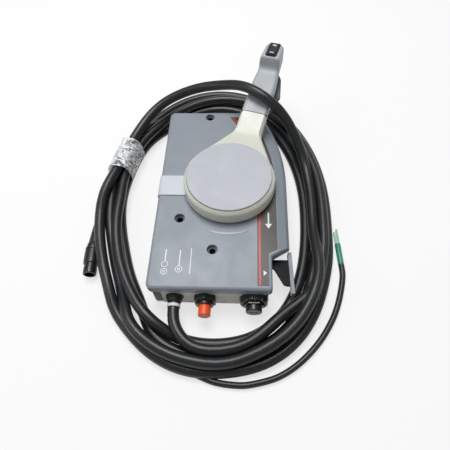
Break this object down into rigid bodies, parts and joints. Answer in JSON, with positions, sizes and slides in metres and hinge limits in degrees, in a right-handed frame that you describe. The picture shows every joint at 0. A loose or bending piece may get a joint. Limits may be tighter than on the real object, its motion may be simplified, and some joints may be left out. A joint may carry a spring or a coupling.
{
  "type": "outboard throttle and shift control",
  "caption": "Side-mount control box with hub-mounted shift and throttle lever, trim grip, fast-idle lever, stop and key switches, and a long engine harness coiled round it",
  "frame": {"origin": "the lever shaft's axis on the mounting face at the box's back", "axes": "+Z out of the box's face along the lever shaft, +Y to the box's forward end, +X to the side that is uppermost when it is mounted"},
  "size_m": [0.2951, 0.4332, 0.1026],
  "materials": {
    "cover_paint": "satin",
    "black_shell": "matte",
    "pale_trim": "satin",
    "dark_strip": "gloss",
    "red_line": "satin",
    "end_plate": "matte",
    "steel": "brushed",
    "zinc_cast": "machined",
    "bronze": "satin",
    "ivory_paint": "gloss",
    "hub_disc": "satin",
    "grip_grey": "satin",
    "rocker_black": "matte",
    "trigger_grey": "satin",
    "idle_plastic": "satin",
    "switch_black": "satin",
    "hex_metal": "satin",
    "stop_red": "gloss",
    "friction_fibre": "matte",
    "sheath": "satin",
    "band_white": "satin",
    "film_clear": "clear",
    "sleeve_green": "satin",
    "lead_pale": "satin",
    "ring_nut_black": "satin"
  },
  "bodies": {
    "box": {"back_plate": "steel", "case_tub": "black_shell", "face_cover": "cover_paint", "slot_cover": "pale_trim", "indicator_strip": "dark_strip", "red_line": "red_line", "end_plate": "end_plate", "case_screws": "steel", "mount_sleeves": "steel", "front_bush": "bronze", "back_bush": "bronze", "detent_holder": "zinc_cast", "detent_spring": "steel", "detent_ball": "steel", "shift_post": "steel", "throttle_post": "steel", "neutral_switch": "switch_black", "friction_pad": "friction_fibre", "friction_screw": "steel", "key_switch_body": "switch_black", "key_ring_nut": "ring_nut_black", "key_hex_ring": "hex_metal", "stop_switch_body": "switch_black", "stop_nut": "ring_nut_black", "cable_gland": "switch_black", "gland_nut": "ring_nut_black", "cable_band": "band_white", "idle_pivot": "steel", "harness_lead": "sheath", "harness_coil": "sheath", "bundle_film": "film_clear", "harness_connector": "switch_black", "branch_lead": "sheath", "branch_sleeve": "sleeve_green", "branch_ends": "lead_pale"},
    "lever": {"main_shaft": "steel", "hub_arm": "ivory_paint", "hub_disc": "hub_disc", "hub_screw": "steel", "shaft_spacer": "steel", "drive_gear": "zinc_cast", "detent_plate": "zinc_cast", "grip_front": "grip_grey", "grip_back": "grip_grey", "grip_screws": "steel", "trim_switch_body": "rocker_black", "trigger_pin": "steel"},
    "trigger": {"neutral_trigger": "trigger_grey"},
    "rocker": {"trim_rocker": "rocker_black"},
    "shift": {"shift_sector": "zinc_cast", "shift_cable_pin": "steel"},
    "throttle": {"throttle_sector": "zinc_cast", "throttle_cable_pin": "steel"},
    "idle": {"idle_lever": "idle_plastic"},
    "stop": {"stop_button": "stop_red"},
    "key": {"key_cap": "switch_black"}
  },
  "joints": [
    {"name": "lever_hinge", "type": "hinge", "parent": "box", "child": "lever", "pos_m": [0, 0, 0.05], "axis": [0, 0, 1], "range_deg": [-140, 0]},
    {"name": "trigger_hinge", "type": "hinge", "parent": "lever", "child": "trigger", "pos_m": [0.04885, 0.16387, 0.0743], "axis": [-0.9583, 0.2857, 0], "range_deg": [0, 10], "stiffness_Nm_per_rad": 0.03, "springref_deg": -17.19},
    {"name": "trim_hinge", "type": "hinge", "parent": "lever", "child": "rocker", "pos_m": [0.05042, 0.16914, 0.09347], "axis": [-0.9583, 0.2857, 0], "range_deg": [-6, 6], "stiffness_Nm_per_rad": 0.02},
    {"name": "shift_hinge", "type": "hinge", "parent": "box", "child": "shift", "pos_m": [0, 0.0561, 0.015], "axis": [0, 0, 1], "range_deg": [0, 78]},
    {"name": "throttle_hinge", "type": "hinge", "parent": "box", "child": "throttle", "pos_m": [0, -0.0561, 0.015], "axis": [0, 0, 1], "range_deg": [0, 78]},
    {"name": "idle_hinge", "type": "hinge", "parent": "box", "child": "idle", "pos_m": [0.036, -0.08, 0.0267], "axis": [0, 0, 1], "range_deg": [0, 25]},
    {"name": "stop_slide", "type": "slide", "parent": "box", "child": "stop", "axis": [0, 1, 0], "range_m": [0, 0.003], "stiffness_N_per_m": 120, "springref_m": -0.003},
    {"name": "key_hinge", "type": "hinge", "parent": "box", "child": "key", "pos_m": [0.0288, -0.138, 0.018], "axis": [0, 1, 0], "range_deg": [0, 90]}
  ],
  "couplings": [
    {"joint": "shift_hinge", "follows": "lever_hinge", "ratio": -0.55556},
    {"joint": "throttle_hinge", "follows": "lever_hinge", "ratio": -0.55556}
  ]
}
